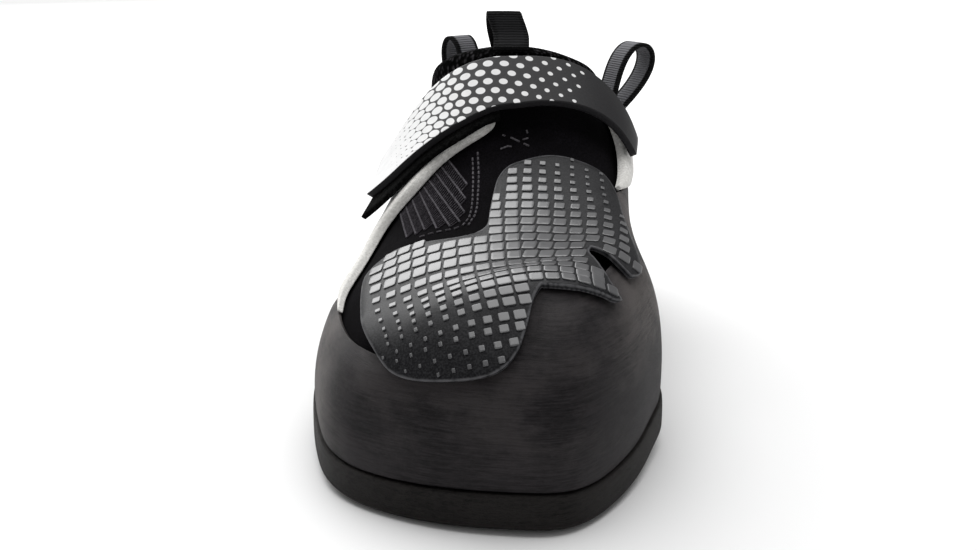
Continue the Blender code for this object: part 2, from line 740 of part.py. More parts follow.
# Strap: its front and back edge and its height over the skin, from the medial anchor to the free end
Span = namedtuple("Span", "a front back lift")
STRAP_SPANS = [
    Span(0.580, 6.34, 6.80, 0.0036),
    Span(0.530, 6.32, 6.80, 0.0039),
    Span(0.400, 6.31, 6.79, 0.0046),
    Span(0.250, 6.27, 6.77, 0.0050),
    Span(0.080, 6.22, 6.72, 0.0050),
    Span(-0.060, 6.18, 6.71, 0.0050),
    Span(-0.200, 6.05, 6.72, 0.0050),
    Span(-0.350, 5.93, 6.73, 0.0050),
    Span(-0.500, 5.82, 6.73, 0.0052),
    Span(-0.600, 5.76, 6.71, 0.0062),
    Span(-0.665, 5.76, 6.66, 0.0078),
]
PAD_SPANS = [
    Span(-0.070, 6.10, 6.60, 0.0050),
    Span(-0.240, 5.91, 6.62, 0.0050),
    Span(-0.380, 5.79, 6.64, 0.0050),
    Span(-0.530, 5.60, 6.64, 0.0054),
    Span(-0.620, 5.46, 6.62, 0.0066),
    Span(-0.680, 5.40, 6.56, 0.0082),
]


def span_at(spans, a, field):
    rows = [Edge(span.a, getattr(span, field)) for span in spans]
    return edge_at(rows, a)


def strip_over(name, spans, parts, shares, below, above, colour, roughness):
    """A strip across the foot between two heights over the strap's underside."""
    marks = steps(spans[0].a, 0.0, 0.0667) if spans[0].a > 0 else [spans[0].a]
    marks += steps(marks[-1], spans[-1].a, parts)[1:]
    nodes, lifts = [], {}
    for a in marks:
        front, back = span_at(spans, a, "front"), span_at(spans, a, "back")
        for share in shares:
            u = front + (back - front) * share
            node = (math.copysign(u, a if a != 0 else 1.0), 1 - abs(a))
            lifts[node_key(*node)] = span_at(spans, a, "lift")
            nodes.append(node)
    n = len(shares)
    faces = []
    for i in range(len(marks) - 1):
        for j in range(n - 1):
            faces.append((i * n + j, i * n + j + 1, (i + 1) * n + j + 1, (i + 1) * n + j))
    layer(name, Sheet(nodes, faces), lambda w, t: lifts[node_key(w, t)] + below,
          lambda w, t: lifts[node_key(w, t)] + above, colour, roughness)


strip_over("strap_hook_pad", PAD_SPANS, 0.061, [0.0, 0.33, 0.67, 1.0],
           -PAD_THICKNESS + 0.0008, 0.0008, BLACK, 0.9)
strip_over("strap", STRAP_SPANS, 0.0555, [0.0, 0.06, 0.35, 0.65, 0.94, 1.0],
           0.0008 + CLEARANCE, 0.0008 + CLEARANCE + STRAP_THICKNESS, WHITE, 0.6)


def rim_frame(w):
    """The collar's edge at w: its point, the way out of the shoe, and the way up off the edge."""
    round_w = w - math.copysign(2 * HEEL, w) if abs(w) > HEEL else w
    along = collar_run(w if abs(w) <= HEEL else round_w)
    out = skin_normal(w, 1.0)
    out = out - along * out.dot(along)
    out = out / np.linalg.norm(out)
    up = np.cross(out, along)
    return skin(w, 1.0), out, up / np.linalg.norm(up)


# The cuff's section: how far each corner lies outside the collar's outer face, how many legs it lies
# below its edge, and how far above it
Fold = namedtuple("Fold", "out legs up")
CUFF_LEG = 0.0060
CUFF_SLACK = 0.0007
CUFF_SECTION = [
    Fold(CUFF_SLACK, 1, 0.0),
    Fold(CUFF_SLACK, 0, LAID),
    Fold(-UPPER_WALL - CUFF_SLACK, 0, LAID),
    Fold(-UPPER_WALL - CUFF_SLACK, 1, 0.001),
    Fold(-UPPER_WALL - CUFF_SLACK - CUFF_THICKNESS, 1, 0.001),
    Fold(-UPPER_WALL - CUFF_SLACK - CUFF_THICKNESS, 0, 0.0006),
    Fold(-UPPER_WALL * 0.5 - 0.0010, 0, CUFF_THICKNESS + LAID),
    Fold(-UPPER_WALL * 0.5 + 0.0010, 0, CUFF_THICKNESS + LAID),
    Fold(CUFF_SLACK + CUFF_THICKNESS, 0, 0.0006),
    Fold(CUFF_SLACK + CUFF_THICKNESS, 1, 0.0),
]


def ring_solid(name, loops, closed, colour, roughness):
    """A solid swept through loops of points, each turning right-handed about the way of the sweep."""
    count, n = len(loops), len(loops[0])
    points = [point for loop in loops for point in loop]
    faces = []
    for i in range(count if closed else count - 1):
        k = (i + 1) % count
        for j in range(n):
            m = (j + 1) % n
            faces.append((i * n + j, i * n + m, k * n + m, k * n + j))
    if not closed:
        faces.append(tuple(range(n))[::-1])
        faces.append(tuple((count - 1) * n + j for j in range(n)))
    return add_solid(name, points, faces, colour, roughness)


cuff_loops = []
for w in steps(THROAT, 2 * HEEL - THROAT, 0.25)[:-1]:
    point, out, up = rim_frame(w)
    behind = min(w - THROAT, 2 * HEEL - THROAT - w)
    corner = ease(behind / 0.4) * ease((1.3 - behind) / 0.4)
    leg = CUFF_LEG * (1 - 0.5 * corner)
    centre = point - out * UPPER_WALL / 2
    loop = []
    for fold in CUFF_SECTION:
        from_centre = fold.out + UPPER_WALL / 2
        loose = corner * (0.0005 if from_centre > 0 else -0.0021)
        loop.append(centre + out * (from_centre + loose) + up * (fold.up + LAID * corner - fold.legs * leg))
    cuff_loops.append(loop)
ring_solid("cuff", cuff_loops, True, BLACK, 0.9)


def webbing(name, path, across, width, closed, colour, roughness):
    """A flat strip of webbing along a path, its width along the way across."""
    loops = []
    count = len(path)
    for i, point in enumerate(path):
        before = path[i - 1] if closed or i > 0 else path[0]
        after = path[(i + 1) % count] if closed or i < count - 1 else path[-1]
        ahead = (after - before) / np.linalg.norm(after - before)
        side = across / np.linalg.norm(across)
        face = np.cross(ahead, side)
        face = face / np.linalg.norm(face) * WEBBING_THICKNESS / 2
        half = side * width / 2
        loops.append([point - half - face, point + half - face, point + half + face, point - half + face])
    return ring_solid(name, loops, closed, colour, roughness)


# Pull tab of the tongue: a narrow hairpin of webbing over the cuff. Its path is given by how far it lies
# outside the collar's outer face, and how far above its edge
Corner = namedtuple("Corner", "out up")
TAB_WIDTH = 0.0114
TAB_RISE = 0.0150
TAB_LEG = 0.0050
TAB_SLACK = 0.0039
TAB_FRONT = 0.0006 + CUFF_THICKNESS + CLEARANCE + WEBBING_THICKNESS / 2
TAB_REAR = -UPPER_WALL - 0.0006 - CUFF_THICKNESS - CLEARANCE - WEBBING_THICKNESS / 2 - TAB_SLACK
TAB_PATH = [
    Corner(TAB_FRONT + 0.0004, -TAB_LEG),
    Corner(TAB_FRONT + 0.0002, 0.001),
    Corner(TAB_FRONT - 0.0008, TAB_RISE * 0.35),
    Corner(TAB_FRONT - 0.0018, TAB_RISE * 0.75),
    Corner(TAB_FRONT - 0.0028, TAB_RISE * 0.95),
    Corner((TAB_FRONT + TAB_REAR) / 2, TAB_RISE),
    Corner(TAB_REAR + 0.0028, TAB_RISE * 0.95),
    Corner(TAB_REAR + 0.0020, TAB_RISE * 0.75),
    Corner(TAB_REAR + 0.0004, TAB_RISE * 0.35),
    Corner(TAB_REAR, 0.001),
    Corner(TAB_REAR, -TAB_LEG + 0.001),
]
point, out, up = rim_frame(THROAT)
tab_path = []
for corner in TAB_PATH:
    stand = max(corner.up - 0.003, 0.0)
    lean = np.array([-0.275, -0.56, 0.31]) * stand + np.array([0.0, 0.0, 0.0004])
    tab_path.append(point + out * corner.out + up * corner.up + lean)
webbing("tongue_pull_tab", tab_path, np.array([1.0, 0.0, 0.0]), TAB_WIDTH, False, BLACK, 0.5)

# Heel loops: each is a teardrop of webbing that stands on the quarter's face at (w, t). It leans out
# from upright, and is turned so that its webbing faces forward by some degrees. stand is how far its foot
# lies from the skin
Loop = namedtuple("Loop", "name w t stand lean turn tall wide width")
LOOPS = [
    Loop("heel_loop_lateral", -9.90, 0.79, 0.0053, 12.0, 42.0, 0.0285, 0.0110, 0.0105),
    Loop("heel_loop_medial", 9.20, 0.84, 0.0059, 30.0, -30.0, 0.0285, 0.0135, 0.0110),
]
LOOP_PARTS = 24
for loop in LOOPS:
    side = math.copysign(1.0, loop.w)
    foot = offset_skin(loop.w, loop.t, loop.stand)
    lean, turn = math.radians(loop.lean), math.radians(loop.turn)
    across = np.array([math.sin(turn), math.cos(turn), 0.0])
    away = np.array([side * math.cos(turn), -side * math.sin(turn), 0.0])
    upright = away * math.sin(lean) + np.array([0.0, 0.0, math.cos(lean)])
    level = away * math.cos(lean) - np.array([0.0, 0.0, math.sin(lean)])
    path = []
    for i in range(LOOP_PARTS):
        angle = 2 * math.pi * i / LOOP_PARTS
        rise = (1 - math.cos(angle)) / 2
        spread = math.sin(angle) * (0.32 + 0.85 * rise) * loop.wide / 2
        path.append(foot + upright * loop.tall * rise + level * spread)
    webbing(loop.name, path, across, loop.width, True, BLACK, 0.5)
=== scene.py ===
# %% [markdown]
# # A right climbing shoe, dressed
# The solids of the shoe are loaded as a fixed frame. They give every piece its true shape and place, so
# this script only has to make them look like rubber, knit, felt and webbing. All sizes are in metres, the
# toe points to -Y, and +X is the side of the big toe. Places along the foot are given by their station, the
# distance behind the tip of the last on which the shoe was built.

# %% Load the frame
import math
from collections import namedtuple

import bpy
import numpy as np
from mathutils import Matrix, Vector
from mathutils.bvhtree import BVHTree
from mathutils.kdtree import KDTree


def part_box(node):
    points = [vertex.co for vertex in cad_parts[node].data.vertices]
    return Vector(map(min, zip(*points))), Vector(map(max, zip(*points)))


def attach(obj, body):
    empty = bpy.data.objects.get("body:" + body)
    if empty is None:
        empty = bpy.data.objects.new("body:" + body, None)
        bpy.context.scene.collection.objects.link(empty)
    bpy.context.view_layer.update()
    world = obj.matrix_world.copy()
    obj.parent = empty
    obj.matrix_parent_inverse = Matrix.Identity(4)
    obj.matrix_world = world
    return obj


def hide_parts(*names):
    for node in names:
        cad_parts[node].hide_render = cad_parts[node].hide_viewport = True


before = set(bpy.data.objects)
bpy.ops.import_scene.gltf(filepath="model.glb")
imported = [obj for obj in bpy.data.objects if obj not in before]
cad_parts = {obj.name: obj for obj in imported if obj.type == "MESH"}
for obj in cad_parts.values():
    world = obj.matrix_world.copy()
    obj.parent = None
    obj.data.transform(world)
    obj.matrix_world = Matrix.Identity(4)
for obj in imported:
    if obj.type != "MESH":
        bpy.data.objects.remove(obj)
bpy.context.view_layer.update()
MM = 0.001
RUBBER_BEFORE_TIP = 0.0024
LAST_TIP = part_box("outsole")[0][1] + RUBBER_BEFORE_TIP
print("nodes:", ", ".join(sorted(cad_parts)))

# %% [markdown]
# ## Camera
# The photo looks down on the toe from a low tripod: close, a little from the big toe's side, and pitched
# down. A normal lens on a full-frame sensor gives the same perspective.

# %% Camera at the photo's place
CAMERA_PLACE = (0.023, -0.303, 0.130)
CAMERA_TURN = 4.0
CAMERA_PITCH = 15.0
CAMERA_LENS = 47.48
SENSOR_WIDTH = 36
NEAREST_SEEN = 0.01
camera_data = bpy.data.cameras.new("camera")
camera_data.lens = CAMERA_LENS
camera_data.sensor_width = SENSOR_WIDTH
camera_data.sensor_fit = "HORIZONTAL"
camera_data.clip_start = NEAREST_SEEN
camera = bpy.data.objects.new("camera", camera_data)
bpy.context.scene.collection.objects.link(camera)
camera.location = CAMERA_PLACE
camera.rotation_euler = (math.radians(90 - CAMERA_PITCH), 0, math.radians(CAMERA_TURN))
bpy.context.scene.camera = camera
print("camera at", CAMERA_PLACE)

# %% [markdown]
# ## Floor and light
# A product photo like this is taken in a white sweep: the wall behind the shoe glows, the camera's side is
# darker. That is why the toe's front is nearly black, and the instep shines. A soft sun from above makes
# the floor evenly white, a large panel behind gives the shine, and a weak world fills the rest. The Standard
# view transform keeps the floor as white and the rubber as black as their own colours are.

# %% Pale floor and dim world
FLOOR_SIZE = 8.0
FLOOR_CENTRE = (0, 0.08, -0.0002)
FLOOR_WHITE = (0.93, 0.93, 0.93, 1)
WORLD_WHITE = (1, 1, 1, 1)
WORLD_STRENGTH = 0.32

bpy.ops.mesh.primitive_plane_add(size=FLOOR_SIZE, location=FLOOR_CENTRE)
floor = bpy.context.object
floor.name = "floor"
floor_finish = bpy.data.materials.new("pale floor")
floor_finish.use_nodes = True
floor_shader = floor_finish.node_tree.nodes["Principled BSDF"]
floor_shader.inputs["Base Color"].default_value = FLOOR_WHITE
floor_shader.inputs["Roughness"].default_value = 0.95
floor_shader.inputs["Specular IOR Level"].default_value = 0.1
floor.data.materials.append(floor_finish)

world = bpy.data.worlds.new("white tent")
world.use_nodes = True
backdrop = world.node_tree.nodes["Background"]
backdrop.inputs["Color"].default_value = WORLD_WHITE
backdrop.inputs["Strength"].default_value = WORLD_STRENGTH
bpy.context.scene.world = world
bpy.context.scene.view_settings.view_transform = "Standard"
print("floor", FLOOR_SIZE, "m wide, world at", WORLD_STRENGTH)

# %% Soft sun and back panel
SUN_PLACE = (0.0, 0.25, 1.0)
SUN_STRENGTH = 2.2
SUN_SOFTNESS = 70
PANEL_PLACE = (-0.95, 1.35, 1.00)
PANEL_AIM = (0.0, 0.05, 0.05)
PANEL_WIDTH = 1.8
PANEL_HEIGHT = 1.4
PANEL_POWER = 22.0


def add_light(name, kind, place, aim):
    """A light of a kind at its place, turned to its aim."""
    light_data = bpy.data.lights.new(name, kind)
    light = bpy.data.objects.new(name, light_data)
    bpy.context.scene.collection.objects.link(light)
    light.location = place
    light.rotation_euler = (Vector(aim) - Vector(place)).to_track_quat("-Z", "Y").to_euler()
    return light_data


sun = add_light("soft sun", "SUN", SUN_PLACE, (0, 0, 0))
sun.energy = SUN_STRENGTH
sun.angle = math.radians(SUN_SOFTNESS)
back_panel = add_light("back panel", "AREA", PANEL_PLACE, PANEL_AIM)
back_panel.shape = "RECTANGLE"
back_panel.size = PANEL_WIDTH
back_panel.size_y = PANEL_HEIGHT
back_panel.energy = PANEL_POWER
print("lights:", sun.name, "and", back_panel.name)

# %% [markdown]
# ## Helpers for finishes
# A finish is a Principled shader. Its colour, roughness and bump come from noise, waves and small bits of
# arithmetic, so these few helpers add a node, feed it and give back its output.

# %% Add nodes with few words
def new_finish(name, colour, roughness, **sockets):
    """A finish of one colour and roughness. Other sockets are named with _ for a space."""
    material = bpy.data.materials.new(name)
    material.use_nodes = True
    shader = material.node_tree.nodes["Principled BSDF"]
    shader.inputs["Base Color"].default_value = (*colour, 1)
    shader.inputs["Roughness"].default_value = roughness
    for socket, value in sockets.items():
        shader.inputs[socket.replace("_", " ")].default_value = value
    return material


def node(material, kind, inputs=None, output=0, **settings):
    """Adds a node, sets it, and feeds its inputs with values or with other nodes' outputs."""
    made = material.node_tree.nodes.new(kind)
    for key, value in settings.items():
        setattr(made, key, value)
    for key, value in (inputs or {}).items():
        if isinstance(value, bpy.types.NodeSocket):
            material.node_tree.links.new(value, made.inputs[key])
        else:
            made.inputs[key].default_value = value
    return made.outputs[output]


def math_node(material, operation, *values):
    """The result of an operation on values or other nodes' outputs."""
    return node(material, "ShaderNodeMath", dict(enumerate(values)), operation=operation)


def place_of(material, stretch=(1, 1, 1)):
    """Places on the piece in metres. A stretch over 1 squeezes the pattern along that axis."""
    places = node(material, "ShaderNodeTexCoord", output="Object")
    return node(material, "ShaderNodeMapping", {"Vector": places, "Scale": stretch})


def noise(material, scale, detail=3.0, stretch=(1, 1, 1), rough=0.5):
    """Noise on the piece, with about scale blots to the metre."""
    inputs = {"Vector": place_of(material, stretch), "Scale": scale, "Detail": detail, "Roughness": rough}
    return node(material, "ShaderNodeTexNoise", inputs)


def between(material, value, low, high, to_low=0.0, to_high=1.0):
    """Maps low..high to to_low..to_high, smoothly."""
    inputs = {"Value": value, "From Min": low, "From Max": high, "To Min": to_low, "To Max": to_high}
    return node(material, "ShaderNodeMapRange", inputs, interpolation_type="SMOOTHSTEP")


print("node helpers ready")

# %% Blend colours, add bumps and feed the shader
# A Mix node has its colour sockets by number
MIX_SHARE = 0
MIX_FIRST = 6
MIX_SECOND = 7
MIX_COLOUR = 2


def blend_colours(material, share, first, second):
    """first where share is 0 and second where it is 1."""
    inputs = {MIX_SHARE: share}
    for socket, colour in ((MIX_FIRST, first), (MIX_SECOND, second)):
        inputs[socket] = colour if isinstance(colour, bpy.types.NodeSocket) else (*colour, 1)
    return node(material, "ShaderNodeMix", inputs, output=MIX_COLOUR, data_type="RGBA")


def feed(material, socket, value):
    """Joins another node's output to a socket of the shader."""
    shader = material.node_tree.nodes["Principled BSDF"]
    material.node_tree.links.new(value, shader.inputs[socket])


def bumps(material, *heights):
    """Chains (height, depth in metres) into one bump, and joins it to the shader."""
    normal = None
    for height, depth in heights:
        inputs = {"Height": height, "Distance": depth, "Strength": 1.0}
        if normal:
            inputs["Normal"] = normal
        normal = node(material, "ShaderNodeBump", inputs)
    feed(material, "Normal", normal)


def attribute(material, name):
    """What the mesh stores under a name."""
    return node(material, "ShaderNodeAttribute", attribute_name=name, output="Fac")


def along_axis(material, vector, axis):
    """One of the parts X, Y and Z of a vector."""
    return node(material, "ShaderNodeSeparateXYZ", {"Vector": vector}, output=axis)


print("finish helpers ready")

# %% [markdown]
# ## Helpers for pieces
# A solid of the frame is made of flat triangles. To dress it, its mesh is copied, its corners are merged,
# pairs of triangles are joined to four-sided faces, and a subdivision surface rounds it. Edges that are
# sharp on the real piece get a crease, so that they stay. Each point also learns how near it lies to such an
# edge, which lets a finish lighten or border the rims. The dressed copy then stands for the solid.

# %% Mark the rims of a piece, and find places on it
MARK_STEP = 0.0008
RIM_REACH = 0.004
sharp_places = {}


def marks_on_edges(piece):
    """Places every MARK_STEP along the edges that are selected, which are the sharp ones."""
    marks = []
    for edge in piece.data.edges:
        if edge.select:
            first, last = (piece.data.vertices[i].co for i in edge.vertices)
            steps = max(1, int((last - first).length / MARK_STEP))
            marks += [first.lerp(last, step / steps) for step in range(steps + 1)]
    return marks


def mark_rim(piece, marks):
    """Stores on each point how near it is to a mark on a sharp edge, from 1 there to 0 at RIM_REACH."""
    tree = KDTree(max(len(marks), 1))
    for number, place in enumerate(marks):
        tree.insert(place, number)
    tree.balance()
    sharp_places[piece.name] = tree
    near = piece.data.attributes.new("rim", "FLOAT", "POINT")
    for i, vertex in enumerate(piece.data.vertices):
        gap = tree.find(vertex.co)[2] if marks else RIM_REACH
        near.data[i].value = max(0.0, 1 - gap / RIM_REACH)


def surface_tree(piece):
    """A piece's faces in a form that finds nearest places and hits quickly."""
    mesh = piece.data
    return BVHTree.FromPolygons([v.co for v in mesh.vertices], [p.vertices for p in mesh.polygons])


print("rims reach", RIM_REACH, "m")

# %% Copy a solid and round it
MERGE_GAP = 0.00001
SMOOTH_UNDER = 50
ROUNDING = 2


def only(piece):
    """Selects one piece and nothing else."""
    bpy.ops.object.select_all(action="DESELECT")
    piece.select_set(True)
    bpy.context.view_layer.objects.active = piece


def dress(solid, name, crease_angle, crease=0.8, join_angle=40):
    """A rounded copy of a solid that stands for it. Edges sharper than crease_angle keep that crease."""
    piece = bpy.data.objects.new(name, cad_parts[solid].data.copy())
    piece.data.materials.clear()
    bpy.context.scene.collection.objects.link(piece)
    only(piece)
    bpy.ops.object.mode_set(mode="EDIT")
    bpy.ops.mesh.select_all(action="SELECT")
    bpy.ops.mesh.remove_doubles(threshold=MERGE_GAP)
    angle = math.radians(join_angle)
    bpy.ops.mesh.tris_convert_to_quads(face_threshold=angle, shape_threshold=angle)
    bpy.ops.mesh.select_all(action="DESELECT")
    bpy.ops.mesh.select_mode(type="EDGE")
    bpy.ops.mesh.edges_select_sharp(sharpness=math.radians(crease_angle))
    bpy.ops.transform.edge_crease(value=crease)
    bpy.ops.object.mode_set(mode="OBJECT")
    marks = marks_on_edges(piece)
    rounded = piece.modifiers.new("rounded", "SUBSURF")
    rounded.levels = ROUNDING
    rounded.render_levels = ROUNDING
    bpy.ops.object.modifier_apply(modifier=rounded.name)
    bpy.ops.object.shade_smooth_by_angle(angle=math.radians(SMOOTH_UNDER))
    mark_rim(piece, marks)
    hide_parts(solid)
    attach(piece, "root")
    print(name, "has", len(piece.data.polygons), "faces")
    return piece


print("piece helpers ready, each rounded", ROUNDING, "times")

# %% [markdown]
# ## Rubber
# The toe cap, the rands and the sole are the same sticky rubber: a matte charcoal that takes dust and
# scuffs. Its finest mark is the grinding before glueing, thin level streaks. Over those lie lighter clouds,
# and the higher they lie the more a painted highlight lightens them, so the low rubber stays darker as
# painted shade. High on the outer sides dust lightens the rubber together with a painted reflection. A
# photo of real rubber could be laid on, but noise needs no picture and has no seam: streaks come from noise
# squeezed in height, and clouds from noise at a few centimetres.

# %% Rand and toe cap rubber
# Heights are over the floor, and widths from the middle line: where a mark starts and where it is full.
# The side mark is dust and a painted reflection high on the outer sides; below it the rubber stays darker.
# The slope lets the dust and painted reflection start higher on the big toe's side
PAINTED_HIGHLIGHT_HEIGHTS = (0.012, 0.024)
DUST_AND_REFLECTION_HEIGHTS = (0.010, 0.028)
DUST_AND_REFLECTION_WIDTHS = (0.028, 0.046)
DUST_AND_REFLECTION_SLOPE = -0.30
RUBBER_DARK = (0.003, 0.0025, 0.003)
RUBBER_LIGHT = (0.027, 0.024, 0.026)
# The dust colour is also the colour of the painted highlight and of the painted reflection on the outer
# sides
RUBBER_DUST_AND_PAINTED_LIGHT = (0.140, 0.126, 0.120)


def rubber_finish(name, dark, light, dust_and_painted_light, speckle, streak_depth, grain_depth):
    """Clouds, level streaks and a ground grain between dark and light, a painted highlight higher up, and
    dust with a painted reflection on the outer sides.
    """
    material = new_finish(name, dark, 0.6, Specular_IOR_Level=0.12)
    clouds = noise(material, scale=36.0, detail=6.0, stretch=(1.0, 1.0, 1.6), rough=0.6)
    streaks = noise(material, scale=100.0, detail=10.0, stretch=(1.0, 1.0, 20.0), rough=0.85)
    grain = noise(material, scale=620.0, detail=5.0, stretch=(1.0, 1.0, 2.0), rough=0.8)
    scuffs = noise(material, scale=55.0, detail=10.0, stretch=(1.0, 1.0, 7.0), rough=0.8)
    share = math_node(material, "MULTIPLY_ADD", between(material, streaks, 0.40, 0.60), 0.70,
                      between(material, clouds, 0.40, 0.68, 0.0, 0.45))
    share = math_node(material, "MULTIPLY_ADD", between(material, grain, 0.35, 0.70), speckle, share)
    colour = blend_colours(material, share, dark, light)
    across = along_axis(material, place_of(material), "X")
    height = along_axis(material, place_of(material), "Z")
    # Painted highlight: the clouds are lightened more the higher they lie, which leaves the low rubber
    # darker as painted shade
    painted_highlight = math_node(material, "MULTIPLY", between(material, clouds, 0.44, 0.62),
                      between(material, height, *PAINTED_HIGHLIGHT_HEIGHTS, 0.1, 1.0))
    colour = blend_colours(material, math_node(material, "MULTIPLY", painted_highlight, 0.10), colour, dust_and_painted_light)
    colour = blend_colours(material, between(material, scuffs, 0.58, 0.78, 0.0, 0.5), colour, dust_and_painted_light)
    # Dust and painted reflection: lighter high on the outer sides, where clouds and streaks are strong
    side = between(material, math_node(material, "ABSOLUTE", across), *DUST_AND_REFLECTION_WIDTHS)
    high = between(material, math_node(material, "MULTIPLY_ADD", across, DUST_AND_REFLECTION_SLOPE, height), *DUST_AND_REFLECTION_HEIGHTS)
    dust_and_painted_reflection = math_node(material, "MULTIPLY", math_node(material, "MULTIPLY", side, high),
                      between(material, math_node(material, "ADD", clouds, streaks), 0.72, 1.18))
    feed(material, "Base Color", blend_colours(material, dust_and_painted_reflection, colour, dust_and_painted_light))
    feed(material, "Roughness", between(material, streaks, 0.3, 0.8, 0.48, 0.72))
    bumps(material, (grain, grain_depth), (streaks, streak_depth))
    return material


rand_rubber = rubber_finish("scuffed rand rubber", RUBBER_DARK, RUBBER_LIGHT, RUBBER_DUST_AND_PAINTED_LIGHT,
                            speckle=0.25, streak_depth=0.00022, grain_depth=0.00010)
for solid in ("toe_rand", "heel_rand"):
    rand = dress(solid, solid + "_rubber", 50)
    rand.data.materials.append(rand_rubber)

# %% [markdown]
# ## Sole rubber
# The sole is cut from a thicker sheet, and its edge is ground by hand all round. That leaves a coarse black
# grain with hardly any dust. The same finish serves again, with darker colours, more speckle and deeper
# bumps, so that sole and rand still look like one kind of rubber.

# %% Sole plate
# The third colour is dust here too, and the painted highlight and painted reflection of the same finish
sole_rubber = rubber_finish("ground sole rubber", (0.0015, 0.0012, 0.0012), (0.028, 0.025, 0.024),
                            (0.070, 0.063, 0.058), speckle=0.8, streak_depth=0.00050, grain_depth=0.00110)
sole = dress("outsole", "sole_rubber", 40, crease=0.7)
sole.data.materials.append(sole_rubber)

# %% [markdown]
# ## Upper
# The bootee under the rubber is black microfibre suede, and the thin board inside it is covered with grey
# cloth. Hairs could be grown for the nap, but they are too fine to be seen, so a fine noise makes the bump
# and a soft sheen catches the light at grazing angles.

# %% Upper and insole
def cloth_finish(name, dark, light, scale, depth, sheen):
    """Cloth whose nap has its scale and depth, with a few worn patches."""
    material = new_finish(name, dark, 1.0, Specular_IOR_Level=0.02, Sheen_Weight=sheen, Sheen_Roughness=0.5)
    nap = noise(material, scale, 3.0)
    patches = noise(material, 70.0, 3.0)
    share = math_node(material, "MULTIPLY", between(material, nap, 0.35, 0.7),
                      between(material, patches, 0.3, 0.7, 0.4, 1.0))
    feed(material, "Base Color", blend_colours(material, share, dark, light))
    bumps(material, (nap, depth))
    return material


suede = cloth_finish("black suede", (0.0012, 0.001, 0.0012), (0.008, 0.007, 0.009),
                     scale=2600.0, depth=0.00012, sheen=0.006)
upper = dress("upper", "upper_suede", 60)
upper.data.materials.append(suede)

board = cloth_finish("insole cloth", (0.010, 0.010, 0.011), (0.030, 0.030, 0.032),
                     scale=1800.0, depth=0.0001, sheen=0.03)
insole = dress("insole", "insole_cloth", 40)
insole.data.materials.append(board)

# %% [markdown]
# ## Cuff
# The collar is bound with a soft knit, whose loops show as small bright grains with dark holes between
# them. Modelling each loop would take far more faces than the cuff is worth, and cells of a Voronoi
# texture, stretched upwards, read as loops at this size.

# %% Knitted cuff
LOOPS_TO_METRE = 760.0
LOOP_STRETCH = (1, 1, 0.6)
knit = new_finish("cuff knit", (0.004, 0.004, 0.004), 1.0, Specular_IOR_Level=0.02)
knit_loops = node(knit, "ShaderNodeTexVoronoi",
                  {"Vector": place_of(knit, LOOP_STRETCH), "Scale": LOOPS_TO_METRE})
knit_share = between(knit, knit_loops, 0.15, 0.55, 1.0, 0.0)
knit_patches = between(knit, noise(knit, 120.0), 0.3, 0.7, 0.3, 1.0)
knit_share = math_node(knit, "MULTIPLY", knit_share, knit_patches)
feed(knit, "Base Color", blend_colours(knit, knit_share, (0.0015, 0.0015, 0.0015), (0.050, 0.048, 0.052)))
bumps(knit, (knit_loops, -0.0004))
cuff = dress("cuff", "cuff_knit", 75)
cuff.data.materials.append(knit)

# %% [markdown]
# ## Hook pad
# The strap closes on a pad of hook tape, a black field of tiny plastic hooks whose end peeps out under the
# strap. It is the same cloth with a coarser and deeper grain.

# %% Hook pad under the strap
hooks = cloth_finish("hook tape", (0.002, 0.002, 0.002), (0.012, 0.012, 0.012),
                     scale=1400.0, depth=0.0005, sheen=0.005)
pad = dress("strap_hook_pad", "hook_pad", 60)
pad.data.materials.append(hooks)

# %% [markdown]
# ## Threads
# Ribs and stitches are threads that lie on the upper. A bump could draw them, but it would vanish from the
# side, so each is real: a thin curve through places on the skin. Curves with a round bevel are quick to
# place, and they are made meshes afterwards.

# %% Lay threads on the upper
THREAD_SMOOTH_UNDER = 60
upper_tree = surface_tree(upper)


def on_skin(place, lift):
    """The place on the upper nearest to this one, lifted off it."""
    found, normal = upper_tree.find_nearest(Vector(place))[:2]
    return found + normal * lift


def path_gaps(path):
    """The lengths between the places of a path."""
    return [(Vector(b) - Vector(a)).length for a, b in zip(path, path[1:])]


def along_path(path, share):
    """A place at a share of the length of a path of places."""
    gaps = path_gaps(path)
    left = share * sum(gaps)
    for a, b, gap in zip(path, path[1:], gaps):
        if left <= gap:
            return Vector(a).lerp(Vector(b), left / gap)
        left -= gap
    return Vector(path[-1])


def lay_threads(name, paths, thickness, lift, finish):
    """Makes one piece of many threads, each through the places of its path on the skin."""
    data = bpy.data.curves.new(name, "CURVE")
    data.dimensions = "3D"
    data.bevel_depth = thickness / 2
    data.bevel_resolution = 1
    data.use_fill_caps = True
    for path in paths:
        spline = data.splines.new("POLY")
        spline.points.add(len(path) - 1)
        for point, place in zip(spline.points, path):
            point.co = (*on_skin(place, lift), 1)
    piece = bpy.data.objects.new(name, data)
    bpy.context.scene.collection.objects.link(piece)
    only(piece)
    bpy.ops.object.convert(target="MESH")
    piece = bpy.context.object
    bpy.ops.object.shade_smooth_by_angle(angle=math.radians(THREAD_SMOOTH_UNDER))
    piece.data.materials.append(finish)
    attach(piece, "root")
    print(name, "has", len(paths), "threads")


print("upper's skin ready for threads")

# %% [markdown]
# ## Knit window
# Beside the instep the upper has a window of ribbed knit: a ladder of ribs that fan out over the side of
# the foot, with fine cross threads between each two. Only the ribs' ends are given. The cross
# threads follow from them, each a little further up on its second rib, as in a real ladder of knit.

